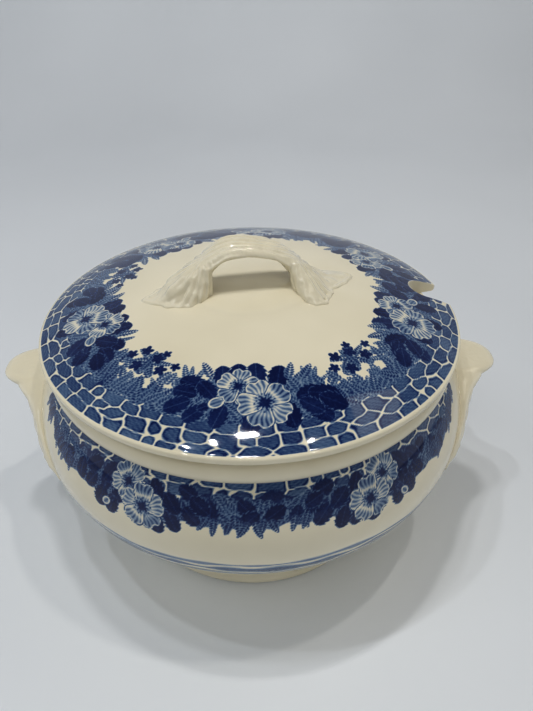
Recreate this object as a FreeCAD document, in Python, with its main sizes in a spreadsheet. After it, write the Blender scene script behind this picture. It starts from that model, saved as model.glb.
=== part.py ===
"""Soup tureen: a round footed earthenware bowl with two lugs and a lift-off lid with a branch handle.

Millimetres, +Z up. The origin is the centre of the base, on the table. X runs through the two lugs.
The lid sits turned in its seat by lid_turn, so that its handle and ladle notch are off the lug line.
"""

import FreeCAD, Part
import math
import os

import Sketcher

V = FreeCAD.Vector

DRIVING_SIZES = {
    # Whole object
    "lid_radius": 115.0,
    "edge_height": 137.0,
    "lid_turn": 7.5,
    # Bowl: outer outline from the foot up
    "base_radius": 78.0,
    "base_height": 30.0,
    "turn_radius": 107.5,
    "turn_height": 50.7,
    "belly_radius": 123.5,
    "belly_height": 85.2,
    "neck_radius": 111.0,
    "neck_height": 119.2,
    "bowl_wall": 6.0,
    "floor_thickness": 6.5,
    # Bowl: rolled collar and the lip that the lid rests on
    "collar_top": 132.2,
    "collar_bend": 8.5,
    "lip_inner": 103.8,
    "lip_outer": 108.6,
    "lip_height": 133.6,
    # Foot
    "foot_radius": 83.0,
    "foot_wall": 6.0,
    "toe_height": 5.5,
    "waist_bend": 26.0,
    # Lugs
    "lug_reach": 144.0,
    "lug_height": 105.5,
    "lug_foot": 86.0,
    "lug_half_width": 18.5,
    # Lid
    "dome_rise": 19.6,
    "dome_crown_radius": 80.5,
    "dome_crown_drop": 7.5,
    "dome_shoulder_bend": 121.0,
    "dome_wall": 5.5,
    "lid_edge": 3.1,
    "pad_radius": 32.0,
    "pad_rise": 1.2,
    "flange_wall": 4.6,
    "flange_depth": 9.5,
    "flange_gap": 0.7,
    # Ladle notch in the lid's edge
    "notch_half_width": 9.8,
    "notch_centre": 103.0,
    "flange_cut": 13.0,
    # Branch handle, as heights above the lid's edge
    "arch_top": 43.8,
    "arch_half_width": 9.5,
    "arch_thickness": 2.8,
    "root_reach": 59.0,
}

# Stations along the branch: share of root_reach, share of arch_top, turn of the section in degrees,
# and its half width and half thickness as shares of arch_half_width and arch_thickness.
BRANCH_STATIONS = [
    (-1.02, 0.335, 20, 0.36, 0.50),
    (-0.82, 0.400, 30, 1.10, 1.30),
    (-0.62, 0.600, 40, 1.42, 2.40),
    (-0.41, 0.815, 42, 1.24, 1.75),
    (-0.22, 0.930, 18, 1.03, 1.20),
    (-0.03, 0.958, -2, 1.00, 1.00),
    (0.18, 0.915, -16, 1.02, 1.15),
    (0.37, 0.765, -42, 1.24, 1.75),
    (0.57, 0.485, -42, 1.45, 2.20),
    (0.78, 0.385, -18, 1.20, 1.10),
    (1.00, 0.345, -20, 0.36, 0.50),
]

# Roots that spread from the foot of each leg: place along and across the lid as shares of root_reach,
# height as a share of arch_top, and the two half sizes in millimetres.
ROOTS = {
    "left_root": [
        (-0.56, 0.02, 0.560, 9.5, 10.0),
        (-0.55, -0.20, 0.480, 9.0, 6.5),
        (-0.53, -0.38, 0.400, 5.5, 3.4),
    ],
    "left_knob": [
        (-0.68, 0.00, 0.500, 8.5, 7.5),
        (-0.74, -0.18, 0.430, 7.0, 4.8),
        (-0.79, -0.32, 0.375, 4.0, 2.6),
    ],
    "right_root": [
        (0.54, 0.00, 0.560, 9.5, 10.0),
        (0.57, -0.25, 0.470, 9.0, 6.5),
        (0.59, -0.50, 0.375, 5.0, 3.0),
    ],
    "back_root": [
        (0.64, 0.00, 0.510, 9.0, 8.0),
        (0.74, 0.20, 0.430, 7.0, 4.8),
        (0.82, 0.36, 0.365, 4.0, 2.6),
    ],
}

# Sections of a lug's tab from its underside up: share of the way from lug_foot to lug_height, how far it
# stands out from the belly as a share of the tab's full overhang, and its half width as a share of
# lug_half_width.
TAB_SECTIONS = [
    (0.00, -0.05, 0.70),
    (0.30, 0.14, 0.86),
    (0.52, 0.38, 0.96),
    (0.70, 0.74, 1.02),
    (0.84, 0.97, 1.02),
    (0.93, 1.00, 1.00),
    (1.00, 0.90, 0.90),
]

# Stations along the root that sweeps from each side of a tab down over the belly: turn round the bowl from
# the lug's middle in degrees, height, how far the crest stands out from the belly, and half the breadth.
SWEEP_STATIONS = [
    (3.0, 101.5, 17.0, 3.6),
    (8.0, 101.3, 14.0, 3.8),
    (12.0, 98.8, 8.0, 4.8),
    (16.0, 95.0, 4.8, 6.0),
    (20.0, 90.5, 3.5, 6.0),
    (24.0, 86.5, 2.9, 5.5),
    (28.0, 82.5, 2.2, 4.8),
    (32.0, 79.0, 1.2, 3.2),
    (34.0, 77.5, 0.5, 2.0),
]

SECTION_POINTS = 24
TAB_ROOT = 9.0
SIDE_BEND = 200.0


class Size:
    """A length that knows both its value and the sheet expression that gives it."""

    def __init__(self, value, expression):
        self.value = value
        self.expression = expression

    def joined(self, other, sign, value):
        text = other.expression if isinstance(other, Size) else repr(other)
        return Size(value, f"({self.expression} {sign} {text})")

    def __add__(self, other):
        return self.joined(other, "+", self.value + number(other))

    def __sub__(self, other):
        return self.joined(other, "-", self.value - number(other))

    def __mul__(self, other):
        return self.joined(other, "*", self.value * number(other))


def number(size):
    """The plain value of a Size or of a number."""
    return size.value if isinstance(size, Size) else size


def bind(target, prop, size):
    """Sets a property and ties it to the sheet where the size comes from there."""
    if isinstance(size, Size):
        target.setExpression(prop, size.expression)


def make_sheet(doc):
    """Writes the driving sizes to the sheet and returns them as Size objects by name."""
    sheet = doc.addObject("Spreadsheet::Sheet", "Sizes")
    for row, (name, value) in enumerate(DRIVING_SIZES.items(), start=1):
        sheet.set(f"A{row}", name)
        sheet.set(f"B{row}", str(value))
        sheet.setAlias(f"B{row}", name)
    doc.recompute()
    return {name: Size(value, f"Sizes.{name}") for name, value in DRIVING_SIZES.items()}


def origin_plane(body, role):
    """One of the body's own origin planes."""
    return next(f for f in body.Origin.OriginFeatures if f.Role == role)


def new_sketch(body, name, role):
    sketch = body.newObject("Sketcher::SketchObject", name)
    sketch.AttachmentSupport = [(origin_plane(body, role), "")]
    sketch.MapMode = "FlatFace"
    return sketch


def arc_between(start, end, bend):
    """A circular arc of radius |bend| from start to end. A positive bend turns to the left."""
    chord = end - start
    across = V(-chord.y, chord.x, 0).normalize()
    rise = math.sqrt(bend * bend - chord.Length**2 / 4)
    centre = (start + end) * 0.5 + across * math.copysign(rise, bend)
    angles = [math.atan2(p.y - centre.y, p.x - centre.x) for p in (start, end)]
    if bend < 0:
        angles.reverse()
    if angles[1] < angles[0]:
        angles[1] += 2 * math.pi
    return Part.ArcOfCircle(Part.Circle(centre, V(0, 0, 1), abs(bend)), *angles)


def pin_coordinate(sketch, kind, axis, edge, end, size):
    """Holds one coordinate of an edge's end at a size from the sketch origin."""
    if number(size) == 0:
        sketch.addConstraint(Sketcher.Constraint("PointOnObject", edge, end, axis))
        return
    row = sketch.addConstraint(Sketcher.Constraint(kind, -1, 1, edge, end, number(size)))
    bind(sketch, f"Constraints[{row}]", size)


def draw_outline(sketch, corners):
    """Draws a closed outline. A corner is (x, y), or (x, y, bend) where the edge that ends there is an arc."""
    places = [V(number(c[0]), number(c[1]), 0) for c in corners]
    ends = []
    for i, corner in enumerate(corners):
        start, end = places[i - 1], places[i]
        bend = number(corner[2]) if len(corner) > 2 else 0
        if bend:
            edge = sketch.addGeometry(arc_between(start, end, bend), False)
            row = sketch.addConstraint(Sketcher.Constraint("Radius", edge, abs(bend)))
            if bend > 0:
                bind(sketch, f"Constraints[{row}]", corner[2])
        else:
            edge = sketch.addGeometry(Part.LineSegment(start, end), False)
        ends.append((edge, 2 if bend < 0 else 1, 1 if bend < 0 else 2))
    for i, corner in enumerate(corners):
        edge, _, finish = ends[i]
        following, begin, _ = ends[(i + 1) % len(ends)]
        sketch.addConstraint(Sketcher.Constraint("Coincident", edge, finish, following, begin))
        pin_coordinate(sketch, "DistanceX", -2, edge, finish, corner[0])
        pin_coordinate(sketch, "DistanceY", -1, edge, finish, corner[1])


def turned_body(doc, label, corners, hollow=None):
    """A body of revolution about Z from a closed half outline, with an optional hollow cut from it."""
    body = doc.addObject("PartDesign::Body", label)
    body.Label = label
    outline = new_sketch(body, f"{label}_outline", "XZ_Plane")
    draw_outline(outline, corners)
    turned = body.newObject("PartDesign::Revolution", f"{label}_turned")
    turned.Profile = outline
    turned.ReferenceAxis = (outline, ["V_Axis"])
    turned.Angle = 360
    doc.recompute()
    if hollow:
        solid_volume = body.Shape.Volume
        inside = new_sketch(body, f"{label}_inside", "XZ_Plane")
        draw_outline(inside, hollow)
        groove = body.newObject("PartDesign::Groove", f"{label}_hollow")
        groove.Profile = inside
        groove.ReferenceAxis = (inside, ["V_Axis"])
        groove.Angle = 360
        doc.recompute()
        require(body.Shape.Volume < solid_volume, f"{label}: the hollow cut nothing")
    return body


def require(condition, message):
    if not condition:
        raise RuntimeError(message)


def tangent_bend(radius_change, rise):
    """Radius of the arc that leaves the vertical and covers that rise and change of radius."""
    return (radius_change * radius_change + rise * rise) / (2 * radius_change)


def bowl_outside(s):
    """Outer half outline of the bowl, closed along the axis."""
    lower = tangent_bend(
        s["belly_radius"].value - s["turn_radius"].value,
        s["belly_height"].value - s["turn_height"].value,
    )
    upper = tangent_bend(
        s["belly_radius"].value - s["neck_radius"].value,
        s["neck_height"].value - s["belly_height"].value,
    )
    return [
        (0, s["base_height"]),
        (s["base_radius"], s["base_height"]),
        (s["turn_radius"], s["turn_height"], SIDE_BEND),
        (s["belly_radius"], s["belly_height"], lower),
        (s["neck_radius"], s["neck_height"], upper),
        (s["lip_outer"] + 0.6, s["collar_top"], s["collar_bend"]),
        (s["lip_outer"] - 0.6, s["lip_height"]),
        (0, s["lip_height"]),
    ]


def bowl_hollow(s):
    """Half outline of the bowl's inside, one wall in from the outside."""
    wall = s["bowl_wall"]
    inner_belly = s["belly_radius"] - wall
    inner_turn_radius = s["turn_radius"] - wall * 0.65
    inner_turn_height = s["turn_height"] + wall * 0.76
    inner_neck_height = s["neck_height"] - 1.0
    lower = tangent_bend(
        inner_belly.value - inner_turn_radius.value,
        s["belly_height"].value - inner_turn_height.value,
    )
    upper = tangent_bend(
        inner_belly.value - s["lip_inner"].value,
        inner_neck_height.value - s["belly_height"].value,
    )
    floor = s["base_height"] + s["floor_thickness"]
    above = s["lip_height"] + 5.0
    return [
        (0, floor),
        (s["base_radius"] - 12.0, floor),
        (inner_turn_radius, inner_turn_height, SIDE_BEND),
        (inner_belly, s["belly_height"], lower),
        (s["lip_inner"], inner_neck_height, upper),
        (s["lip_inner"], s["lip_height"] - 1.0),
        (s["lip_inner"] + 1.0, s["lip_height"]),
        (s["lip_inner"] + 1.0, above),
        (0, above),
    ]


def make_foot(doc, s):
    """A flared foot ring with a rounded toe, under the bowl's flat base."""
    toe = s["foot_radius"] - 1.3
    inner = s["base_radius"] - s["foot_wall"]
    return turned_body(
        doc,
        "foot_ring",
        [
            (inner - 3.0, s["base_height"]),
            (toe - s["foot_wall"] + 0.8, 0),
            (toe - 0.8, 0),
            (toe, s["toe_height"], 3.5),
            (s["base_radius"], s["base_height"], -s["waist_bend"].value),
        ],
    )


def rounded_section(doc, name, centre, across, upward, half_across, half_up, power=2.0):
    """A closed smooth section about centre: an ellipse at power 2, squarer as the power rises."""
    points = []
    for i in range(SECTION_POINTS):
        angle = 2 * math.pi * i / SECTION_POINTS
        x, y = (math.copysign(abs(v) ** (2 / power), v) for v in (math.cos(angle), math.sin(angle)))
        points.append(centre + across * (x * half_across) + upward * (y * half_up))
    curve = Part.BSplineCurve()
    curve.interpolate(Points=points, PeriodicFlag=True)
    section = doc.addObject("Part::Feature", name)
    section.Shape = Part.Wire(curve.toShape())
    return section


def loft_through(doc, name, sections):
    loft = doc.addObject("Part::Loft", name)
    loft.Sections = sections
    loft.Solid = True
    loft.Ruled = True
    return loft


def cut_by(doc, name, base, tool):
    """What is left of base outside tool. The cut has to remove something."""
    cut = doc.addObject("Part::Cut", name)
    cut.Base = base
    cut.Tool = tool
    doc.recompute()
    require(cut.Shape.Volume < base.Shape.Volume - 1, f"{name}: the cut removed nothing")
    return cut


def belly_at(s, height):
    """The bowl's outer radius at a height on its belly."""
    end = "turn" if height < s["belly_height"].value else "neck"
    change = s["belly_radius"].value - s[f"{end}_radius"].value
    bend = tangent_bend(change, s[f"{end}_height"].value - s["belly_height"].value)
    return s["belly_radius"].value - tangent_sag(abs(height - s["belly_height"].value), bend)


def make_tab(doc, s, label, side):
    """The half-round tab of a lug, with its foot inside the bowl's wall."""
    low = s["lug_foot"].value
    rise = s["lug_height"].value - low
    overhang = s["lug_reach"].value - belly_at(s, s["lug_height"].value)
    sections = []
    for i, (up, out, wide) in enumerate(TAB_SECTIONS):
        height = low + rise * up
        middle = V(side * (belly_at(s, height) - TAB_ROOT), 0, height)
        depth = TAB_ROOT + overhang * out
        half_width = s["lug_half_width"].value * wide
        name = f"{label}_tab_{i}"
        sections.append(rounded_section(doc, name, middle, V(side, 0, 0), V(0, 1, 0), depth, half_width, 2.4))
    return loft_through(doc, f"{label}_tab", sections)


def make_sweep(doc, s, label, side, way):
    """A root that runs from a side of the tab down over the belly and tapers out."""
    outward = []
    centres = []
    for turn, height, _, _ in SWEEP_STATIONS:
        angle = math.radians(way * turn)
        out = V(side * math.cos(angle), math.sin(angle), 0)
        outward.append(out)
        centres.append(out * belly_at(s, height) + V(0, 0, height))
    sections = []
    for i, (_, _, proud, half_breadth) in enumerate(SWEEP_STATIONS):
        ahead = centres[min(i + 1, len(centres) - 1)] - centres[max(i - 1, 0)]
        across = ahead.cross(outward[i]).normalize()
        name = f"{label}_sweep_{'back' if way > 0 else 'front'}_{i}"
        sections.append(rounded_section(doc, name, centres[i], across, outward[i], half_breadth, proud))
    return loft_through(doc, f"{label}_sweep_{'back' if way > 0 else 'front'}", sections)


def make_lug(doc, s, label, side, envelope):
    """A half-round tab whose sides sweep down the belly as two tapering roots."""
    pieces = [make_tab(doc, s, label, side)]
    pieces += [make_sweep(doc, s, label, side, way) for way in (-1, 1)]
    doc.recompute()
    joined = doc.addObject("Part::MultiFuse", f"{label}_joined")
    joined.Shapes = pieces
    doc.recompute()
    lug = cut_by(doc, label, joined, envelope)
    lug.Label = label
    return lug


def dome_outside(s):
    """Upper half outline of the lid with the low round pad under the handle, from the axis to the edge."""
    crown = s["dome_crown_radius"].value
    drop = s["dome_crown_drop"].value
    crown_bend = tangent_bend(drop, crown)
    pad_sag = tangent_sag(s["pad_radius"].value, crown_bend)
    top = s["edge_height"] + s["dome_rise"]
    slope_end = s["pad_radius"] + 3.0
    slope_sag = tangent_sag(slope_end.value, crown_bend)
    rim = s["lid_radius"] - 0.8
    return [
        (rim, s["edge_height"] - s["lid_edge"]),
        (rim, s["edge_height"] + 0.3, 2.3),
        (s["dome_crown_radius"], top - s["dome_crown_drop"], s["dome_shoulder_bend"]),
        (slope_end, top - slope_sag, crown_bend),
        (s["pad_radius"], top + s["pad_rise"] - pad_sag),
        (0, top + s["pad_rise"], crown_bend),
    ]


def tangent_sag(radius, bend):
    """How far an arc of that bend has dropped at that radius from its top."""
    return bend - math.sqrt(bend * bend - radius * radius)


def make_lid(doc, s):
    """The domed lid: a thick flat seat at the edge, a hollow underside and the U-shaped ladle notch."""
    under = s["edge_height"] - s["lid_edge"]
    seat_inner = s["lip_inner"] - s["flange_gap"] - s["flange_wall"] - 0.6
    ceiling = s["edge_height"] + s["dome_rise"] - s["dome_wall"]
    hollow_edge = seat_inner - 5.0
    ceiling_edge = s["edge_height"] + 3.4
    ceiling_bend = tangent_bend(ceiling.value - ceiling_edge.value, hollow_edge.value)
    corners = dome_outside(s) + [
        (0, ceiling),
        (hollow_edge, ceiling_edge, -ceiling_bend),
        (seat_inner, under),
    ]
    lid = turned_body(doc, "lid_dome", corners)
    cut_notch(doc, s, lid, s["notch_half_width"], s["notch_centre"])
    lid.Placement = lid_placement(s)
    return lid


def lid_placement(s):
    return FreeCAD.Placement(V(0, 0, 0), FreeCAD.Rotation(V(0, 0, 1), s["lid_turn"].value))


def cut_notch(doc, s, body, half_width, centre):
    """Cuts a U-shaped notch, open at the edge, right through the body."""
    before = body.Shape.Volume
    far = s["lid_radius"] + 10.0
    sketch = new_sketch(body, f"{body.Label}_notch_outline", "XY_Plane")
    draw_outline(
        sketch,
        [
            (centre, half_width * -1.0, half_width),
            (far, half_width * -1.0),
            (far, half_width),
            (centre, half_width),
            (centre - half_width, 0, half_width),
        ],
    )
    pocket = body.newObject("PartDesign::Pocket", f"{body.Label}_notch")
    pocket.Profile = sketch
    pocket.Type = "ThroughAll"
    pocket.Reversed = True
    doc.recompute()
    require(body.Shape.Volume < before, f"{body.Label}: the notch cut nothing")


def make_flange(doc, s):
    """The locating ring under the lid. It is cut away behind the ladle notch."""
    outer = s["lip_inner"] - s["flange_gap"]
    inner = outer - s["flange_wall"]
    top = s["edge_height"] - s["lid_edge"]
    bottom = top - s["flange_depth"]
    flange = turned_body(
        doc,
        "lid_flange",
        [
            (inner, top),
            (inner + 0.6, bottom + 1.4),
            (inner + 2.0, bottom, 1.6),
            (outer - 1.6, bottom),
            (outer - 0.2, bottom + 1.4, 1.6),
            (outer, top),
        ],
    )
    cut_notch(doc, s, flange, s["flange_cut"], s["notch_centre"] - 2.0)
    flange.Placement = lid_placement(s)
    return flange


def make_root(doc, s, name, places):
    """A root that leans forward or back from the foot of a leg and sinks into the lid."""
    sections = []
    for i, (along, across, up, half_x, half_z) in enumerate(places):
        reach = s["root_reach"].value
        centre = V(along * reach, across * reach, s["edge_height"].value + up * s["arch_top"].value)
        sections.append(rounded_section(doc, f"{name}_{i}", centre, V(1, 0, 0), V(0, 0, 1), half_x, half_z))
    return loft_through(doc, name, sections)


def make_branch(doc, s, envelope):
    """The handle: a flat branch bent into an arch, whose feet spread into roots over the lid."""
    sections = []
    for i, (along, up, pitch, wide, thick) in enumerate(BRANCH_STATIONS):
        x = along * s["root_reach"].value
        z = s["edge_height"].value + up * s["arch_top"].value
        lean = math.radians(pitch)
        half_width = s["arch_half_width"].value * wide
        half_thickness = s["arch_thickness"].value * thick
        upward = V(-math.sin(lean), 0, math.cos(lean))
        sections.append(
            rounded_section(doc, f"branch_section_{i}", V(x, 0, z), V(0, 1, 0), upward, half_width, half_thickness, 2.4)
        )
    arch = loft_through(doc, "branch_arch", sections)
    parts = [arch] + [make_root(doc, s, name, places) for name, places in ROOTS.items()]
    doc.recompute()
    joined = doc.addObject("Part::MultiFuse", "branch_joined")
    joined.Shapes = parts
    doc.recompute()
    branch = cut_by(doc, "branch_handle", joined, envelope)
    branch.Label = "branch_handle"
    branch.Placement = lid_placement(s)
    return branch


def lid_envelope(doc, s):
    """The space under the lid's upper surface, which the handle's feet stop at."""
    return turned_body(doc, "lid_envelope", dome_outside(s) + [(0, s["edge_height"] - s["lid_edge"])])


def check(doc, nodes):
    """Stops on any failed object or bad shape."""
    for thing in doc.Objects:
        bad = [word for word in thing.State if word in ("Invalid", "Error")]
        require(not bad, f"{thing.Label} is {bad}")
    for node in nodes:
        require(not node.Shape.isNull(), f"{node.Label} has no shape")
        require(node.Shape.isValid(), f"{node.Label} is not valid")
        require(len(node.Shape.Solids) == 1, f"{node.Label} has {len(node.Shape.Solids)} solids")


def export(nodes):
    os.makedirs("parts", exist_ok=True)
    for node in nodes:
        node.Shape.exportStep(f"parts/{node.Label}.step")
        box = node.Shape.optimalBoundingBox(False)
        print(f"{node.Label}: {node.Shape.Volume / 1000:.1f} cm3, z {box.ZMin:.1f} to {box.ZMax:.1f}")


def main():
    doc = FreeCAD.newDocument("SoupTureen")
    s = make_sheet(doc)
    bowl = turned_body(doc, "bowl_body", bowl_outside(s), bowl_hollow(s))
    bowl_space = turned_body(doc, "bowl_envelope", bowl_outside(s))
    lid_space = lid_envelope(doc, s)
    nodes = [
        bowl,
        make_foot(doc, s),
        make_lug(doc, s, "lug_left", -1, bowl_space),
        make_lug(doc, s, "lug_right", 1, bowl_space),
        make_lid(doc, s),
        make_flange(doc, s),
        make_branch(doc, s, lid_space),
    ]
    doc.recompute()
    check(doc, nodes)
    export(nodes)


main()
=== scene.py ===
"""Looks of the soup tureen: printed bowl and lid, lugs, branch handle, glaze, pale studio.

Blender objects are in metres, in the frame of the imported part. The helpers work in millimetres.
"""

from math import asin, atan2, ceil, copysign, cos, hypot, pi, radians, sin, sqrt, tau

import bpy
import numpy as np
from mathutils import Matrix, Vector


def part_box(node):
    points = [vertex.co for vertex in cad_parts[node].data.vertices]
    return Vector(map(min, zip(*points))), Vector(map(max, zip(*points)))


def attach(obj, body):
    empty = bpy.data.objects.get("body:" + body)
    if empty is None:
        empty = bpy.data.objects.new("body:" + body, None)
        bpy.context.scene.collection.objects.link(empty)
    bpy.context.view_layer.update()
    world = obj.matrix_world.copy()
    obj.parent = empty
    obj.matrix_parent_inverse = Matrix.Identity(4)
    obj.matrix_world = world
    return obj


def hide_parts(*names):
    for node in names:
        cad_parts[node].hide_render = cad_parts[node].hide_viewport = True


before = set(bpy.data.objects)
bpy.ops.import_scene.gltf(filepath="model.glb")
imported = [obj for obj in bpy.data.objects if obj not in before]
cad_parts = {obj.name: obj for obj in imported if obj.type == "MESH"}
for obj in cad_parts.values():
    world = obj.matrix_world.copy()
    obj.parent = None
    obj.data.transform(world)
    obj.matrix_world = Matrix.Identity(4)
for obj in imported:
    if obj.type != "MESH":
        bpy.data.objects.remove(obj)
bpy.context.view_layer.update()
scene = bpy.context.scene

MM = 0.001
LID_TURN = radians(7.5)

lid_low, lid_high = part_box("lid_dome")
bowl_low, bowl_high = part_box("bowl_body")
lug_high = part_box("lug_right")[1]

LID_R = max(-lid_low.x, lid_high.x, lid_high.y) / MM
SEAT_Z = lid_low.z / MM
EDGE_Z = SEAT_Z + 3.1
# The raised pad in the middle of the lid.
PAD_RISE = 1.2
PAD_R = 33.0
DOME_RISE = lid_high.z / MM - EDGE_Z - PAD_RISE
LID_WALL = 5.5
BOWL_BASE = bowl_low.z / MM
LIP_Z = bowl_high.z / MM
BELLY_R = bowl_high.x / MM


# ---- print sheets


# Width of a cell of print, in millimetres.
PRINT_STEP = 0.25


class Sheet:
    """A flat sheet of print in millimetres, holding darkness from 0, bare glaze, to 1, full cobalt."""

    def __init__(self, width, height, x0=0.0, y0=0.0):
        self.x0 = x0
        self.y0 = y0
        self.nx = int(round(width / PRINT_STEP))
        self.ny = int(round(height / PRINT_STEP))
        self.ink = np.zeros((self.ny, self.nx), np.float32)

    def centres(self):
        """Places of the centres of the cells, as a row of x and a column of y."""
        x = (np.arange(self.nx) + 0.5) * PRINT_STEP + self.x0
        y = (np.arange(self.ny) + 0.5) * PRINT_STEP + self.y0
        return x[None, :], y[:, None]

    def window(self, x, y, reach, angle=0.0):
        """Indices of the cells within reach of a point, and their offsets along and across a direction."""
        cx = (x - self.x0) / PRINT_STEP
        cy = (y - self.y0) / PRINT_STEP
        n = ceil(reach / PRINT_STEP) + 1
        cols = np.arange(int(cx) - n, int(cx) + n + 1)
        rows = np.arange(max(int(cy) - n, 0), min(int(cy) + n + 1, self.ny))
        dx = (cols + 0.5 - cx) * PRINT_STEP
        dy = (rows + 0.5 - cy) * PRINT_STEP
        dx, dy = dx[None, :], dy[:, None]
        c = cos(angle)
        s = sin(angle)
        return np.ix_(rows, cols % self.nx), dx * c + dy * s, dy * c - dx * s

    def lay(self, where, cover, tone):
        """Paints tone over what is there, as far as cover says."""
        self.ink[where] = self.ink[where] * (1 - cover) + tone * cover

    def carve(self, where, cover, tone):
        """Lightens print to a tone, as far as cover says, and leaves bare glaze bare."""
        here = self.ink[where]
        self.ink[where] = np.minimum(here, here * (1 - cover) + tone * cover)

    def read(self, x, y):
        """Darkness at points, smoothed between cells."""
        fx = (np.asarray(x) - self.x0) / PRINT_STEP - 0.5
        fy = np.clip((np.asarray(y) - self.y0) / PRINT_STEP - 0.5, 0, self.ny - 1.001)
        ix = np.floor(fx).astype(int)
        iy = np.floor(fy).astype(int)
        tx = fx - ix
        ty = fy - iy
        a = self.ink[iy, ix % self.nx] * (1 - tx) + self.ink[iy, (ix + 1) % self.nx] * tx
        b = self.ink[iy + 1, ix % self.nx] * (1 - tx) + self.ink[iy + 1, (ix + 1) % self.nx] * tx
        return a * (1 - ty) + b * ty


def soft(distance, blur=0.3):
    """Cover of a shape from its signed distance in millimetres, negative inside."""
    return np.clip(0.5 - distance / blur, 0, 1)


def rounded_leaf(sheet, x, y, angle, length, width, tone=0.97, teeth=5):
    """A broad, blunt, serrated leaf with faint veins and a hairline where it overlaps print."""
    where, a, b = sheet.window(x, y, length * 1.1, angle)
    t = np.clip(a / length, 0, 1)
    swell = t**0.6 * (1 - t) ** 0.55 / 0.46
    tooth = 1 - 0.26 * ((t * teeth) % 1.0)
    outside = np.maximum(np.abs(b) - width / 2 * swell * tooth, np.maximum(-a, a - length))
    sheet.carve(where, soft(outside - 0.28), 0.40)
    vein = np.minimum(np.abs(b), np.abs(((a - np.abs(b) * 0.9) % 2.6) - 1.3) + 0.2)
    shade = tone - 0.30 * soft(vein - 0.12, 0.35)
    sheet.lay(where, soft(outside), shade)


def wild_rose(sheet, x, y, size, turn):
    """An open flower: five streaked petals with white rims, a ragged dark centre and stamens."""
    for k in (0, 2, 4, 1, 3):
        where, a, b = sheet.window(x, y, size * 1.15, turn + k * tau / 5)
        t = np.clip(a / size, 0, 1)
        lobe = 0.60 * size * np.sqrt(t) * np.clip(1 - t**5, 0, 1) ** 0.6
        wave = 1 + 0.05 * np.sin(9 * t + k * 2.1)
        notch = 0.10 * size * np.exp(-((b / (0.13 * size)) ** 2))
        edge = np.maximum(np.abs(b) - lobe * wave, np.maximum(a - size + notch, -a))
        sheet.lay(where, soft(edge - 0.40), 0.92)
        fan = np.arctan2(b, np.maximum(a, 0.01))
        streak = (0.5 + 0.5 * np.cos(fan * 26 + k + 0.8 * np.sin(a))) ** 1.6
        body = 0.28 + 0.46 * streak + 0.10 * np.sin(k * 2.3 + turn)
        glow = np.clip(1 - np.abs(a / size - 0.45) / 0.20, 0, 1) * (0.75 if k % 2 else 0.45)
        shade = 0.02 + np.clip((-edge - 0.35) / 0.55, 0, 1) * body * (1 - glow)
        sheet.lay(where, soft(edge), shade)
    where, dx, dy = sheet.window(x, y, size * 0.6)
    rho = np.hypot(dx, dy)
    phi = np.arctan2(dy, dx)
    halo = 0.30 * size * (1 + 0.20 * np.sin(5 * phi + turn))
    sheet.lay(where, 0.6 * soft(rho - halo, 1.2), 0.16)
    ragged = 0.23 * size * (1 + 0.22 * np.sin(11 * phi + turn) + 0.15 * np.sin(4 * phi))
    sheet.lay(where, soft(rho - ragged, 0.8), 0.93)
    for k in range(18):
        at = turn + k * tau / 18
        far = size * (0.37 if k % 2 else 0.30)
        dot = np.hypot(dx - far * cos(at), dy - far * sin(at)) - 0.38
        sheet.lay(where, soft(dot), 0.92)


def bud(sheet, x, y, size, turn):
    """A half-open bud in a dark calyx."""
    rounded_leaf(sheet, x, y, turn + pi, size * 0.8, size * 0.7, 0.95, 3)
    where, a, b = sheet.window(x, y, size * 1.2, turn)
    body = np.hypot(a - size * 0.35, b * 1.35) - size * 0.5
    sheet.lay(where, soft(body - 0.4), 0.9)
    streak = 0.5 + 0.5 * np.cos(b * 3.4)
    shade = 0.05 + np.clip((-body - 0.6) / 0.7, 0, 1) * (0.35 + 0.3 * streak)
    sheet.lay(where, soft(body), shade)


def fern(sheet, x, y, angle, length, bend=0.0, tone=0.8, fringe=2.6, line=0.24, pale=0.36):
    """A frond: pairs of slender leaflets along a curved stem, parted by pale hairlines."""
    count = max(5, int(length / 1.3))
    for i in range(count, -1, -1):
        t = i / count
        heading = angle + bend * t
        px = x + length * t * cos(angle + bend * t / 2)
        py = y + length * t * sin(angle + bend * t / 2)
        size = fringe * (1 - t) ** 0.6 * (0.6 + 0.4 * min(1, 5 * t)) + 0.6
        for side in (-1, 1):
            where, a, b = sheet.window(px, py, size + 1, heading + side * 0.95)
            body = (np.hypot((a - size / 2) / (size / 2), b / 0.52) - 1) * 0.52
            sheet.carve(where, soft(body - line), pale)
            sheet.lay(where, soft(body), tone)


def lobed_leaf(sheet, x, y, angle, size, tone=0.95):
    """A five-lobed dark leaf, as on ivy."""
    where, a, b = sheet.window(x, y, size * 1.1, angle)
    phi = np.arctan2(b, a)
    rho = np.hypot(a, b)
    lobes = np.abs(np.cos(2.5 * phi)) ** 0.9
    edge = rho - size * (0.42 + 0.52 * lobes * (0.75 + 0.25 * np.cos(phi)))
    sheet.carve(where, soft(edge - 0.25), 0.3)
    vein = np.abs(np.sin(2.5 * phi)) * rho
    shade = tone - 0.2 * soft(vein - 0.3, 0.5) * (rho > 0.6)
    sheet.lay(where, soft(edge), shade)


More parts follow.
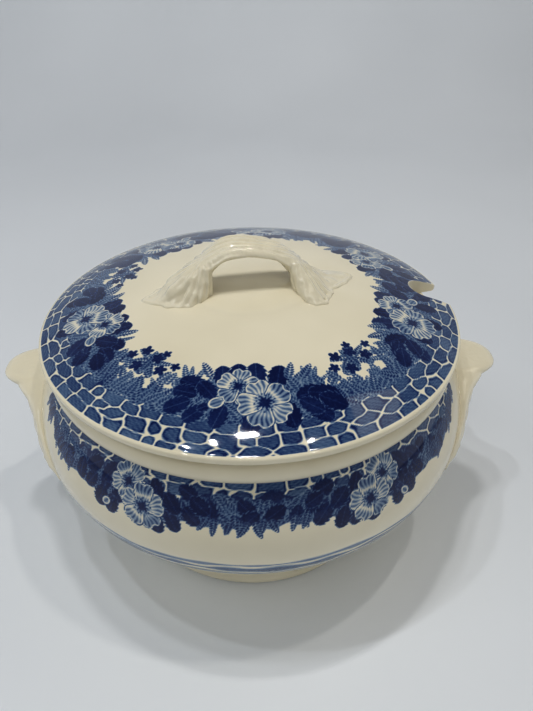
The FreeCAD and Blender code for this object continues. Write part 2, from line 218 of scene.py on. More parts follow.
def sprig(sheet, x, y, angle):
    """A loose bunch of lobed leaves and small fronds that stands alone on bare glaze."""
    c, s = cos(angle), sin(angle)
    for turn, length in ((0.1, 11), (0.9, 9), (-1.0, 9), (2.6, 10), (-2.8, 11), (1.6, 6), (-1.7, 6)):
        fern(sheet, x, y, angle + turn, length, 0.4, 0.88, 2.3, 0.2)
    leaves = (
        (2, 3, 0.5, 4.6),
        (-6, 4, 1.9, 4.0),
        (8, -2, -0.6, 4.2),
        (-4, -5, -2.2, 4.4),
        (-11, -1, 2.8, 3.6),
        (13, 3, 0.2, 3.2),
        (4, 7, 1.2, 3.0),
    )
    for ahead, side, turn, size in leaves:
        px = x + ahead * c - side * s
        py = y + ahead * s + side * c
        lobed_leaf(sheet, px, py, angle + turn, size)


def stone_courses(sheet, rows, long_mm, gap, seed, bottom, top):
    """Rounded, uneven stones in courses with pale joints, between two heights of the sheet."""
    rng = np.random.default_rng(seed)
    width = sheet.nx * PRINT_STEP
    course = (top - bottom) / rows
    seeds = []
    for row in range(-1, rows + 1):
        x = rng.uniform(0, long_mm)
        while x < width - long_mm * 0.4:
            high = bottom + (row + 0.5 + rng.uniform(-0.16, 0.16)) * course
            seeds.append((x, high, rng.uniform(0.72, 1.25)))
            x += long_mm * rng.uniform(0.45, 1.45)
    seeds = np.array(seeds)
    tones = rng.uniform(0.60, 0.74, len(seeds))
    xx, yy = sheet.centres()
    rows_used = np.flatnonzero((yy > bottom) & (yy < top))
    yy = yy[rows_used]
    first = np.full((len(rows_used), sheet.nx), 1e9, np.float32)
    second = first.copy()
    owner = np.zeros(first.shape, int)
    for i, (sx, sy, big) in enumerate(seeds):
        n = int(long_mm * 2.2 / PRINT_STEP)
        cols = (int((sx - sheet.x0) / PRINT_STEP) + np.arange(-n, n)) % sheet.nx
        dx = (np.arange(-n, n) + 0.5) * PRINT_STEP
        near = xx[:, cols]
        wobble = 0.5 * np.sin(near * 0.45 + yy * 0.3) + 0.15 * np.sin(near * 1.2 - yy * 0.8)
        across = np.abs(dx[None, :] / (long_mm / course * 0.95)) ** 4
        d = (across + np.abs(yy - sy + wobble * 0.6) ** 4) ** 0.25 / big
        f = first[:, cols]
        s = second[:, cols]
        o = owner[:, cols]
        closer = d < f
        second[:, cols] = np.where(closer, f, np.minimum(s, d))
        owner[:, cols] = np.where(closer, i, o)
        first[:, cols] = np.where(closer, d, f)
    margin = (second - first) * 0.85 - gap
    hatch = 0.07 * np.sin(yy * 6.1 + 1.3 * np.sin(xx * 0.8)) + 0.05 * np.sin(xx * 1.9 + yy * 3.1)
    shade = tones[owner] + hatch + 0.30 * soft(margin - 0.55, 0.5)
    where = np.ix_(rows_used, np.arange(sheet.nx))
    sheet.lay(where, soft(-margin, 0.45), np.clip(shade, 0, 1))


# ---- mesh helpers


def build(name, points, face_groups, inks=None):
    """A smooth mesh object from points in millimetres and arrays of faces that hold point numbers."""
    mesh = bpy.data.meshes.new(name)
    points = np.asarray(points, np.float32)
    mesh.vertices.add(len(points))
    mesh.vertices.foreach_set("co", (points * MM).ravel())
    loops = np.concatenate([g.ravel() for g in face_groups])
    sizes = np.concatenate([np.full(len(g), g.shape[1]) for g in face_groups])
    starts = np.concatenate([[0], np.cumsum(sizes)[:-1]])
    mesh.loops.add(len(loops))
    mesh.loops.foreach_set("vertex_index", loops.astype(np.int32))
    mesh.polygons.add(len(sizes))
    mesh.polygons.foreach_set("loop_start", starts.astype(np.int32))
    mesh.update(calc_edges=True)
    mesh.validate()
    mesh.shade_smooth()
    if inks is not None:
        attribute = mesh.attributes.new("ink", "FLOAT", "POINT")
        attribute.data.foreach_set("value", np.asarray(inks, np.float32))
    piece = bpy.data.objects.new(name, mesh)
    scene.collection.objects.link(piece)
    return piece


def ring_faces(start_a, start_b, count, flip=False):
    """Quads between two rings of equal count."""
    i = np.arange(count)
    j = (i + 1) % count
    quads = np.stack([start_a + i, start_a + j, start_b + j, start_b + i], 1)
    return quads[:, ::-1] if flip else quads


def merge_faces(start_fine, start_coarse, coarse_count, ratio, flip=False):
    """Faces between a fine ring and one with ratio times fewer points."""
    i = np.arange(coarse_count)
    j = (i + 1) % coarse_count
    fine_count = coarse_count * ratio
    fine = [start_fine + (i * ratio + k) % fine_count for k in range(ratio + 1)]
    faces = np.stack(fine + [start_coarse + j, start_coarse + i], 1)
    return faces[:, ::-1] if flip else faces


def join_rings(rings, ratio, flip):
    """Faces of a closed skin over rings of (first point, count), coarse and fine, with its two end caps."""
    faces = []
    for (a, count_a), (b, count_b) in zip(rings, rings[1:]):
        if count_a == count_b:
            faces.append(ring_faces(a, b, count_a, flip))
        elif count_a > count_b:
            faces.append(merge_faces(a, b, count_b, ratio, flip))
        else:
            faces.append(merge_faces(b, a, count_a, ratio, not flip))
    start, count = rings[-1]
    caps = np.arange(rings[0][1])[None, ::-1], (start + np.arange(count))[None, :]
    return faces + [cap[:, ::-1] if flip else cap for cap in caps]


def tube_faces(rows, count):
    """Side quads and the two end caps of stacked rings of equal count."""
    quads = np.concatenate([ring_faces(k * count, (k + 1) * count, count) for k in range(rows - 1)])
    return quads, np.stack([np.arange(count)[::-1], (rows - 1) * count + np.arange(count)])


def squared(share, power):
    """Turns a sine or cosine towards a boxier (power under 1) section."""
    return np.sign(share) * np.abs(share) ** power


def arc_points(start, end, bend, count):
    """Points along an arc of radius |bend| from start to end, turning left if bend is positive."""
    p = np.array(start, float)
    q = np.array(end, float)
    chord = q - p
    length = hypot(*chord)
    across = np.array([-chord[1], chord[0]]) / length
    rise = sqrt(max(bend * bend - length * length / 4, 0))
    centre = (p + q) / 2 + across * copysign(rise, bend)
    a0 = atan2(*(p - centre)[::-1])
    a1 = atan2(*(q - centre)[::-1])
    if bend > 0 and a1 < a0:
        a1 += tau
    if bend < 0 and a1 > a0:
        a1 -= tau
    angles = np.linspace(a0, a1, count)
    return centre + abs(bend) * np.stack([np.cos(angles), np.sin(angles)], 1)


def tangent_bend(change, rise):
    """Radius of an arc that starts level and covers a change over a rise."""
    return (change * change + rise * rise) / (2 * change)


def spin(radius_height, angles):
    """Points of rings, stacked, from (radius, height) rows."""
    rz = np.asarray(radius_height, float).reshape(-1, 2)
    x = rz[:, :1] * np.cos(angles)[None, :]
    y = rz[:, :1] * np.sin(angles)[None, :]
    z = np.repeat(rz[:, 1:], len(angles), 1)
    return np.stack([x, y, z], 2).reshape(-1, 3)


# ---- materials


def shade_nodes(name):
    """A new material with only an output and a principled shader."""
    material = bpy.data.materials.new(name)
    material.use_nodes = True
    tree = material.node_tree
    tree.nodes.clear()
    out = tree.nodes.new("ShaderNodeOutputMaterial")
    shader = tree.nodes.new("ShaderNodeBsdfPrincipled")
    tree.links.new(shader.outputs[0], out.inputs[0])
    return material, tree, shader


def fill(node, numbers):
    """Sets a node's sockets by name."""
    for name, number in numbers.items():
        node.inputs[name].default_value = number


def noise(tree, coordinates, scale, detail=3.0, rough=0.5):
    """Noise over the object's own coordinates."""
    node = tree.nodes.new("ShaderNodeTexNoise")
    fill(node, {"Scale": scale, "Detail": detail, "Roughness": rough})
    tree.links.new(coordinates, node.inputs["Vector"])
    return node.outputs["Fac"]


def ramp(tree, value, stops):
    """A colour for each value, through (place, colour) stops."""
    node = tree.nodes.new("ShaderNodeValToRGB")
    marks = node.color_ramp.elements
    while len(marks) < len(stops):
        marks.new(0.5)
    for mark, (place, colour) in zip(marks, stops):
        mark.position = place
        mark.color = (*colour, 1)
    tree.links.new(value, node.inputs[0])
    return node.outputs[0]


def spread(tree, value, low, high, to_low, to_high):
    """Maps a range of values to another."""
    node = tree.nodes.new("ShaderNodeMapRange")
    fill(node, {"From Min": low, "From Max": high, "To Min": to_low, "To Max": to_high})
    tree.links.new(value, node.inputs["Value"])
    return node.outputs["Result"]


def combine(tree, operation, a, b):
    """A math node on two sockets or numbers."""
    node = tree.nodes.new("ShaderNodeMath")
    node.operation = operation
    for socket, value in zip(node.inputs, (a, b)):
        if isinstance(value, (int, float)):
            socket.default_value = value
        else:
            tree.links.new(value, socket)
    return node.outputs[0]


IVORY_LIGHT = (0.80, 0.74, 0.575)
IVORY_DEEP = (0.745, 0.685, 0.52)
# Colour of the print from no ink to full ink.
COBALT = [
    (0.0, (0.62, 0.60, 0.52)),
    (0.3, (0.27, 0.34, 0.42)),
    (0.55, (0.085, 0.145, 0.255)),
    (0.7, (0.034, 0.070, 0.165)),
    (0.85, (0.007, 0.021, 0.100)),
    (1.0, (0.001, 0.007, 0.054)),
]


def glaze_material(name, printed=False, bumpy=0.0):
    """Warm ivory glaze with slight pooling and ripple. Printed glaze adds cobalt by the ink attribute."""
    material, tree, shader = shade_nodes(name)
    coordinates = tree.nodes.new("ShaderNodeTexCoord").outputs["Object"]
    broad = noise(tree, coordinates, 22.0, 2.0)
    body = ramp(tree, broad, [(0.30, IVORY_DEEP), (0.70, IVORY_LIGHT)])
    colour = body
    if printed:
        attribute = tree.nodes.new("ShaderNodeAttribute")
        attribute.attribute_name = "ink"
        grain = noise(tree, coordinates, 900.0, 2.0, 0.7)
        cloud = noise(tree, coordinates, 120.0, 3.0, 0.6)
        speckle = spread(tree, grain, 0.3, 0.7, -0.07, 0.07)
        uneven = combine(tree, "ADD", speckle, spread(tree, cloud, 0.3, 0.7, -0.06, 0.06))
        wet = combine(tree, "MULTIPLY", attribute.outputs["Fac"], combine(tree, "ADD", 1.0, uneven))
        cobalt = ramp(tree, wet, COBALT)
        mix = tree.nodes.new("ShaderNodeMix")
        mix.data_type = "RGBA"
        tree.links.new(spread(tree, wet, 0.04, 0.34, 0.0, 1.0), mix.inputs["Factor"])
        tree.links.new(body, mix.inputs["A"])
        tree.links.new(cobalt, mix.inputs["B"])
        colour = mix.outputs["Result"]
    tree.links.new(colour, shader.inputs["Base Color"])
    fine = noise(tree, coordinates, 160.0, 3.0)
    tree.links.new(spread(tree, fine, 0.3, 0.7, 0.035, 0.075), shader.inputs["Roughness"])
    ripple = combine(tree, "MULTIPLY", noise(tree, coordinates, 75.0, 1.0), 0.25)
    height = combine(tree, "ADD", broad, ripple)
    if bumpy:
        bumps = combine(tree, "MULTIPLY", noise(tree, coordinates, 330.0, 3.0), bumpy)
        height = combine(tree, "ADD", height, bumps)
    bump = tree.nodes.new("ShaderNodeBump")
    fill(bump, {"Strength": 0.6 if bumpy else 0.5, "Distance": 0.0006})
    tree.links.new(height, bump.inputs["Height"])
    tree.links.new(bump.outputs[0], shader.inputs["Normal"])
    ior, coat = (1.42, 0.12) if printed else (1.54, 0.6)
    fill(shader, {"IOR": ior, "Coat Weight": coat, "Coat Roughness": 0.04})
    return material


plain_glaze = glaze_material("ivory_glaze")
printed_glaze = glaze_material("printed_glaze", printed=True)
branch_glaze = glaze_material("branch_glaze", bumpy=0.9)


def dress(piece, material, body, slot, *nodes):
    """Gives a piece its material and its place in the model."""
    piece.data.materials.clear()
    piece.data.materials.append(material)
    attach(piece, body)
    if nodes:
        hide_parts(*nodes)
    return piece


# ---- lid


def dome_height(radius):
    """Height of the lid's upper surface above its edge plane."""
    share = np.clip(np.asarray(radius, float) / LID_R, 0, 1)
    pad = PAD_RISE / (1 + np.exp((np.asarray(radius, float) - PAD_R) / 0.9))
    return DOME_RISE * np.clip(1 - share**2, 0, 1) ** 0.81 + pad


# Places round the lid, in degrees: loose sprigs, and clusters of flowers.
SPRIGS = (-136, -60, 153)
LID_CLUSTERS = (-98, -22, 24, 78, 120, 188)
# The radius at which the strip of stones is unrolled.
STONE_R = 102


def gap_from(degrees, places):
    """How many degrees away the nearest of some places round the rim is."""
    return np.min([np.abs((degrees - place + 180) % 360 - 180) for place in places], axis=0)


def on_lid(share, angle):
    """Point of the lid's sheet at a share of the lid's radius."""
    return share * LID_R * cos(angle), share * LID_R * sin(angle)


def draw_lid_print():
    """The lid's border: a ring of stones at the edge, fronds and flower clusters inside it."""
    reach = LID_R + 6
    sheet = Sheet(2 * reach, 2 * reach, -reach, -reach)
    # Stones are laid out along the edge on a strip and then bent round.
    strip = Sheet(tau * STONE_R, 24)
    stone_courses(strip, 4, 11.5, 0.46, 5, 0.6, 22.5)
    xx, yy = sheet.centres()
    rho = np.hypot(xx, yy)
    phi = np.arctan2(yy, xx)
    edge = LID_R * 0.988
    ring = (rho > 0.80 * LID_R) & (rho < edge)
    sheet.ink[ring] = strip.read(((phi % tau) * STONE_R)[ring], (edge + 2.1 - rho)[ring])
    # A blue wash lies under the fronds. It stops short of the loose sprigs.
    near = gap_from(np.degrees(phi), SPRIGS)
    inner = 0.700 + 0.012 * np.sin(23 * phi) + 0.010 * np.sin(41 * phi + 1)
    inner = inner + 0.09 * np.clip((17 - near) / 5, 0, 1)
    outer = 0.852 + 0.008 * np.sin(17 * phi) + 0.006 * np.sin(37 * phi)
    wash = (rho > inner * LID_R) & (rho < outer * LID_R)
    sheet.ink[wash] = 0.82
    rng = np.random.default_rng(11)
    for start, step, far in ((0.86, 2.6, 0.615), (0.80, 2.4, 0.62), (0.845, 3.2, 0.70), (0.74, 3.0, 0.625)):
        for degree in np.arange(0, 360, step):
            turn = degree + rng.uniform(-1.2, 1.2)
            at = radians(turn)
            inside = far + rng.uniform(0.0, 0.03)
            inside += max(0.0, min(1.0, (19 - gap_from(turn, SPRIGS)) / 5)) * (0.76 - far)
            lean = rng.uniform(-1.0, 1.0)
            long_mm = max(7.0, (start - inside) * LID_R / cos(lean * 0.8))
            bend = rng.uniform(-0.4, 0.4)
            fern(sheet, *on_lid(start, at), at + pi + lean, long_mm, bend, rng.uniform(0.77, 0.91))
    for degree in SPRIGS:
        at = radians(degree)
        sprig(sheet, *on_lid(0.668, at), at + pi / 2)
    for k, degree in enumerate(LID_CLUSTERS):
        lid_cluster(sheet, radians(degree), 1 if k % 2 == 0 else -1, rng)
    return sheet


def lid_cluster(sheet, at, way, rng):
    """Two flowers and a bud in a bed of dark leaves, on the lid."""

    def place(radius, along):
        return on_lid(radius, at + way * along / (LID_R * 0.75))

    inner_leaves = ((0.655, -13, 0.2), (0.645, -6, 0.0), (0.650, 3, -0.1), (0.665, 12, -0.3))
    left_leaves = ((0.69, -21, 1.0), (0.74, -24, 1.3), (0.79, -26, 1.7), (0.72, -16, 0.7))
    right_leaves = ((0.74, 20, -1.0), (0.745, 26, -1.4), (0.79, 30, -1.8), (0.80, 21, -2.0))
    outer_leaves = ((0.83, -11, 2.6), (0.83, -19, 2.2), (0.845, 2, 3.0), (0.83, 24, -2.4), (0.82, 14, -2.9))
    for radius, along, turn in outer_leaves + left_leaves + right_leaves + inner_leaves:
        size = rng.uniform(11.5, 14.5)
        heading = at + pi + way * (turn + rng.uniform(-0.2, 0.2))
        spot = place(radius + 0.05 * cos(turn), along)
        rounded_leaf(sheet, *spot, heading, size, size * 0.80, rng.uniform(0.90, 1.0))
    for radius, along, turn in ((0.66, -21, 0.3), (0.67, 19, -0.3), (0.68, 26, -0.6)):
        fern(sheet, *place(radius, along), at + pi + way * turn, 9, 0.2, 0.85, 2.6)
    bud(sheet, *place(0.79, -17), 7.5, at + way * 1.9)
    wild_rose(sheet, *place(0.696, -6), 10.3, at + way * 0.4)
    wild_rose(sheet, *place(0.775, 6), 12.8, at + way * 1.0)


# Half width of the ladle notch, and how far out the centre of its round end is.
NOTCH_HALF = 9.8
NOTCH_CENTRE = 103.0


def notch_radius(angles):
    """How far the lid reaches at each angle from its own X axis, with the ladle notch cut in."""
    half, centre = NOTCH_HALF, NOTCH_CENTRE
    turn = (angles + pi) % tau - pi
    edge_turn = asin(half / centre)
    inside = np.sqrt(np.clip(half**2 - (centre * np.sin(turn)) ** 2, 0, None))
    bottom = centre * np.cos(turn) - inside
    blend = np.clip((np.abs(turn) - edge_turn) / radians(0.35), 0, 1)
    blend = blend * blend * (3 - 2 * blend)
    mouth = centre * cos(edge_turn)
    return np.where(np.abs(turn) < edge_turn, bottom, mouth + (LID_R - mouth) * blend)


def make_lid():
    """The lid as one closed skin: dome, edge, seat and hollow, with the notch cut in."""
    sheet = draw_lid_print()
    # More columns stand close together at the two corners of the notch.
    corner = np.array([5.3, 5.45, 5.5, 5.55, 5.65, 5.75, 5.9, 6.2])
    extra = np.radians(np.concatenate([-corner[::-1], corner]))
    columns = 1392
    fine_rings = 112
    angles = np.sort(np.concatenate([np.linspace(-pi, pi, columns, endpoint=False) + 0.001, extra]))
    columns = len(angles)
    ratio = 4
    few = angles[::ratio]
    reach = notch_radius(angles)
    cut = reach < LID_R - 0.05
    points = []
    rings = []

    def add(radius, height, which):
        rings.append((sum(len(p) for p in points), len(which)))
        radius = np.broadcast_to(radius, which.shape)
        height = np.broadcast_to(height, which.shape)
        points.append(np.stack([radius * np.cos(which), radius * np.sin(which), EDGE_Z + height], 1))

    inner = LID_R * 0.53
    pad_edge = [31.2, 32.2, 33.0, 33.8, 34.8]
    for radius in np.concatenate([np.linspace(2, 30, 9), pad_edge, np.linspace(37, inner - 2, 8)]):
        add(radius, dome_height(radius), few)
    coarse_top = len(rings)
    shoulder = np.where(cut, reach - 0.7, LID_R * 0.985)
    for share in np.linspace(0, 1, fine_rings):
        radius = inner + (shoulder - inner) * share
        add(radius, dome_height(radius), angles)
    lip = dome_height(shoulder)
    out = reach - shoulder
    down = -(EDGE_Z - SEAT_Z)
    wall_top = np.where(cut, dome_height(reach) - 0.5, 0.0)
    for k in (0.3, 0.65, 0.9, 1.0):
        add(shoulder + out * k, lip + (wall_top - lip) * (1 - sqrt(1 - k * k)), angles)
    for k in (0.35, 0.7):
        add(reach, wall_top + (down + 0.8 - wall_top) * k, angles)
    for share, rise in ((0.05, 0.8), (0.35, 0.22), (1, 0)):
        add(reach - share * out, down + rise, angles)
    seat_out = LID_R - 1.7
    seat_in = 97.9
    hollow_start = 91.0
    hollow_r = 92.9
    hollow_rim = 3.4

    def under(radius):
        """Height of the lid's lower surface: the flat seat, a slope and the hollow."""
        slope = np.clip((seat_in - radius) / 5.0, 0, 1)
        top = DOME_RISE - LID_WALL
        ceiling = top - (radius / hollow_r) ** 2 * (top - hollow_rim)
        return np.where(radius > seat_in, down, down + (ceiling - down) * slope)

    for k in (0.30, 0.62, 0.80, 1.0):
        radius = np.minimum(shoulder - 0.01, seat_out) + (hollow_start - seat_out) * k
        radius = np.minimum(radius, shoulder - 0.3)
        add(radius, under(radius), angles)
    for radius in np.linspace(86, 3, 12):
        add(radius, under(np.array(radius)), few)
    faces = join_rings(rings, ratio, True)
    points = np.concatenate(points)
    inks = sheet.read(points[:, 0], points[:, 1])
    top_end = rings[coarse_top + fine_rings - 1][0] + columns
    inks[top_end:] = 0
    lid = build("lid_shell", points, faces, inks)
    lid.data.transform(Matrix.Rotation(LID_TURN, 4, "Z"))
    return dress(lid, printed_glaze, "lid", "printed_lid", "lid_dome")


# ---- bowl


# The bowl's outline: (radius, height) of its neck and lower turn, and the height where it is widest.
NECK = (111.0, 119.2)
BELLY_Z = 85.2
TURN = (107.5, 50.7)
# Places of flower clusters round the bowl, in degrees.
BOWL_CLUSTERS = (-117, -62, 62, 117)
# The radius at which the bowl's border is unrolled.
BORDER_R = 120
# Radii of the underside and of the mouth.
BASE_R = 78.0
LIP_INNER = 103.8
# Radius of the gentle curve between the underside and the lower turn.
FLANK_BEND = 200.0
# Small fronds that hang below the middle of the border: place along it, place down it, lean.
DROPS = (
    (-17, 16, 0.5), (-14, 17, 0.1), (-10, 17, -0.3), (-7, 18, 0.3),
    (-3, 17, 0.0), (1, 18, 0.5), (4, 18, -0.3), (8, 17, 0.2),
    (11, 17, -0.4), (22, 16, 0.2), (25, 16, -0.3), (28, 15, 0.3),
)
# Sprays that end the border beside a lug: degrees from the lug, place down the border, length.
LUG_SPRAYS = (
    (22, 1, 9), (23.5, 3, 10), (25, 4, 11), (26.5, 5, 11),
    (28, 6, 12), (29.5, 7, 12), (31, 8, 13), (33, 9, 13),
    (35, 10, 13), (37, 11, 13), (39, 12, 13), (41, 13, 12),
)


def draw_bowl_print():
    """The bowl's border, drawn on a strip that starts at the neck and runs down the belly."""
    around = tau * BORDER_R
    sheet = Sheet(around, 52)
    stone_courses(sheet, 5, 12.0, 0.50, 23, -2.5, 25)
    rng = np.random.default_rng(31)

    def u(degree):
        return (radians(degree) % tau) * BORDER_R

    x, y = sheet.centres()
    x = x / BORDER_R
    upper = 7.5 + 2.5 * np.sin(9 * x) + 1.5 * np.sin(23 * x + 1) + 1.0 * np.sin(51 * x)
    wash = (y > upper) & (y < 30)
    sheet.ink[wash] = 0.88
    for start, step, tone in ((6, 2.6, 0.86), (12, 3.4, 0.92)):
        for degree in np.arange(0, 360, step):
            lean = pi / 2 + rng.uniform(-0.9, 0.9)
            at = u(degree + rng.uniform(-1, 1))
            down = start + rng.uniform(-1, 3)
            long_mm = rng.uniform(12, 16)
            fern(sheet, at, down, lean, long_mm, rng.uniform(-0.5, 0.5), tone, 2.9, 0.22, 0.36)
    for degree in np.arange(0, 360, 4.5):
        size = rng.uniform(10, 13)
        lean = pi / 2 + rng.uniform(-1.2, 1.2)
        at = u(degree + rng.uniform(-2, 2))
        rounded_leaf(sheet, at, rng.uniform(5, 14), lean, size, size * 0.8, rng.uniform(0.93, 1.0))
    trim_bowl_print(sheet)
    for degree in (-92, 88):
        for along, down, lean in DROPS:
            long_mm = rng.uniform(6, 8.5)
            heading = pi / 2 + lean
            fern(sheet, u(degree) + along, down, heading, long_mm, 0.3 * lean, 0.95, 1.9, 0.14, 0.25)
    for degree in BOWL_CLUSTERS:
        bowl_cluster(sheet, u(degree), -1 if degree in (-62, 117) else 1, rng)
    for side in (0, 180):
        for way in (-1, 1):
            for from_lug, down, long_mm in LUG_SPRAYS:
                at = u(side + way * from_lug)
                heading = pi / 2 + rng.uniform(-0.8, 0.8)
                rounded_leaf(sheet, at, down - 1, heading, long_mm * 0.7, long_mm * 0.5, 0.95)
                fern(sheet, at, down, heading - way * 0.4, long_mm * 0.85, 0.3, 0.95, 2.0, 0.14, 0.4)
    return sheet


def trim_bowl_print(sheet):
    """Leaves bare glaze round the lugs and below a scalloped lower line."""
    x, y = sheet.centres()
    x = x / BORDER_R
    from_lug = np.degrees(np.abs((x + pi / 2) % pi - pi / 2))
    scallop = np.abs(np.sin(x * 24)) * 2.4 + np.sin(x * 61) * 0.6
    lower = 18.5 + scallop + 2.0 * np.exp(-(((from_lug - 62) / 10) ** 2))
    keep = soft(y - lower, 0.8) * np.clip((from_lug - 21 - y * 0.85) / 1.0, 0, 1)
    sheet.ink *= keep


def bowl_cluster(sheet, x, way, rng):
    """Two flowers and a bud in a bed of dark leaves, on the bowl."""
    left = ((-24, 12, 2.2), (-18, 16, 1.9), (-11, 19, 1.8))
    right = ((2, 19, 1.5), (10, 19, 1.3), (17, 17, 1.2), (24, 13, 0.9))
    upper = ((-22, 5, 2.6), (21, 4, 0.3), (-4, 4, 1.5), (8, 3, 1.2), (-13, 3, 2.2))
    edges = ((15, 8, 0.8), (27, 8, 0.5))
    for along, down, turn in left + right + upper + edges:
        size = rng.uniform(10, 12.5)
        heading = turn + rng.uniform(-0.15, 0.15)
        if way < 0:
            heading = pi - heading
        rounded_leaf(sheet, x + way * along, down, heading, size, size * 0.82, rng.uniform(0.94, 1.0))
    bud(sheet, x - way * 15, 22, 5.5, pi / 2 + way * 0.7)
    wild_rose(sheet, x - way * 5, 8.5, 10.0, 0.3)
    wild_rose(sheet, x + way * 4, 18.0, 11.5, 0.9)


def ground_lines(points):
    """Wavy brushed lines on the underside of the bowl, as darkness."""
    phi = np.arctan2(points[:, 1], points[:, 0])
    z = points[:, 2]
    wave = 0.6 * np.sin(5 * phi + 0.6) + 0.4 * np.sin(11 * phi + 2.0) + 0.2 * np.sin(29 * phi)
    ink = np.zeros(len(z))
    strokes = ((76.6, 1.9, 0.62, 0.0), (71.4, 4.0, 0.74, 1.2), (65.6, 2.4, 0.66, 2.3))
    for height, thick, tone, shift in strokes:
        line = height + wave + 0.6 * np.sin(7 * phi + shift)
        press = thick * (0.64 + 0.26 * np.sin(9 * phi + shift * 2) + 0.18 * np.sin(31 * phi + shift * 3))
        streak = 1 - 0.25 * np.abs(np.sin((z - line) * 2.4 + 0.6 * np.sin(6 * phi)))
        ink = np.maximum(ink, tone * streak * np.clip(1.4 - np.abs(z - line) / press, 0, 1))
    return ink


def make_bowl():
    """The bowl as one closed skin: underside, belly, collar, lip and hollow."""
    sheet = draw_bowl_print()
    columns = 1280
    ratio = 4
    angles = np.linspace(0, tau, columns, endpoint=False)
    few = angles[::ratio]
    wall = 6.0
    lower = tangent_bend(BELLY_R - TURN[0], BELLY_Z - TURN[1])
    upper = tangent_bend(BELLY_R - NECK[0], NECK[1] - BELLY_Z)
    base = [(BASE_R * k, BOWL_BASE) for k in (0.05, 0.35, 0.65, 0.85)]
    side = arc_points((BASE_R, BOWL_BASE), TURN, FLANK_BEND, 14)
    belly_low = arc_points(TURN, (BELLY_R, BELLY_Z), lower, 46)[1:]
    belly_high = arc_points((BELLY_R, BELLY_Z), NECK, upper, 68)[1:]
    collar = arc_points(NECK, (108.2, 130.6), 7.0, 15)[1:]
    lip_out = [(107.6, 130.9), (107.3, 131.6), (107.2, 133.0)]
    lip_in = [(106.6, LIP_Z), (104.9, LIP_Z), (104.2, LIP_Z - 0.3), (LIP_INNER, LIP_Z - 1.0)]
    inner_neck = (LIP_INNER, 118.2)
    inner_belly = (BELLY_R - wall, BELLY_Z)
    inner_turn = (TURN[0] - wall * 0.65, TURN[1] + wall * 0.76)
    inner_floor = (66.0, BOWL_BASE + 6.5)
    inner_upper = tangent_bend(inner_belly[0] - inner_neck[0], inner_neck[1] - BELLY_Z)
    inner_lower = tangent_bend(inner_belly[0] - inner_turn[0], BELLY_Z - inner_turn[1])
    inside = (
        np.linspace((LIP_INNER, LIP_Z - 2), inner_neck, 5),
        arc_points(inner_neck, inner_belly, -inner_upper, 10)[1:],
        arc_points(inner_belly, inner_turn, -inner_lower, 10)[1:],
        arc_points(inner_turn, inner_floor, -FLANK_BEND, 8)[1:],
        [(inner_floor[0] * k, inner_floor[1]) for k in (0.9, 0.6, 0.3, 0.04)],
    )
    coarse_one = np.concatenate([base, side])
    fine = np.concatenate([belly_low, belly_high, collar, lip_out + lip_in])
    coarse_two = np.concatenate(inside)
    points = []
    rings = []
    for group, which in ((coarse_one, few), (fine, angles), (coarse_two, few)):
        for row in group:
            rings.append((sum(n for _, n in rings), len(which)))
            points.append(spin(row, which))
    faces = join_rings(rings, ratio, False)
    points = np.concatenate(points)
    inks = np.zeros(len(points))
    # Distance down from the neck along the belly, for the printed rings.
    profile = fine[: len(belly_low) + len(belly_high)]
    down = np.concatenate([[0], np.cumsum(np.hypot(*np.diff(profile[::-1], axis=0).T))])[::-1]
    start = rings[len(coarse_one)][0]
    printed = slice(start, start + len(profile) * columns)
    v = np.repeat(down, columns)
    u = np.tile(angles * BORDER_R, len(profile))
    band = np.where(v < 50, sheet.read(u, np.clip(v, 0, 51)), 0)
    inks[printed] = np.maximum(band, ground_lines(points[printed]))
    bowl = build("bowl_shell", points, faces, inks)
    return dress(bowl, printed_glaze, "bowl", "printed_bowl", "bowl_body")


# ---- modelled clay: lugs and branch


def curve_through(points, steps=7):
    """A smooth curve through points, and the place in their list that each of its points has."""
    p = np.array(points, float)
    at = np.linspace(0, len(p) - 1, (len(p) - 1) * steps + 1)
    i = np.clip(at.astype(int), 0, len(p) - 2)
    f = (at - i)[:, None]
    before = p[np.clip(i - 1, 0, len(p) - 1)]
    after = p[np.clip(i + 2, 0, len(p) - 1)]
    a, b = p[i], p[i + 1]
    bend = (b - before) * f + (2 * before - 5 * a + 4 * b - after) * f**2
    return 0.5 * (2 * a + bend + (3 * a - before - 3 * b + after) * f**3), at


def limb(points, wide, thick=None, broad=(0.05, 1.0, 0.02), sides=16, power=1.0):
    """A tapering limb through points, as (vertices, quads, end caps). It is wide along broad."""
    path, at = curve_through(points)
    order = np.arange(len(points))
    half_wide = np.interp(at, order, wide)
    half_thick = np.interp(at, order, wide if thick is None else thick)
    along = np.gradient(path, axis=0)
    along /= np.linalg.norm(along, axis=1)[:, None]
    hints = np.broadcast_to(np.asarray(broad, float), (len(points), 3))
    hint = np.stack([np.interp(at, order, hints[:, k]) for k in range(3)], 1)
    across = hint - np.sum(hint * along, 1)[:, None] * along
    across /= np.linalg.norm(across, axis=1)[:, None]
    up = np.cross(across, along)
    angle = np.linspace(0, tau, sides, endpoint=False)
    across_share = squared(np.cos(angle), power)
    up_share = squared(np.sin(angle), power)
    sideways = across[:, None] * (half_wide[:, None] * across_share[None, :])[:, :, None]
    upward = up[:, None] * (half_thick[:, None] * up_share[None, :])[:, :, None]
    vertices = (path[:, None] + sideways + upward).reshape(-1, 3)
    return vertices, *tube_faces(len(path), sides)


def knob(centre, size):
    """A small round bump."""
    x, y, z = centre
    spine = [(x, y, z + size * share) for share in (-1, -0.5, 0.5, 1)]
    return limb(spine, [size * 0.3, size, size, size * 0.3], broad=(1, 0, 0), sides=10)


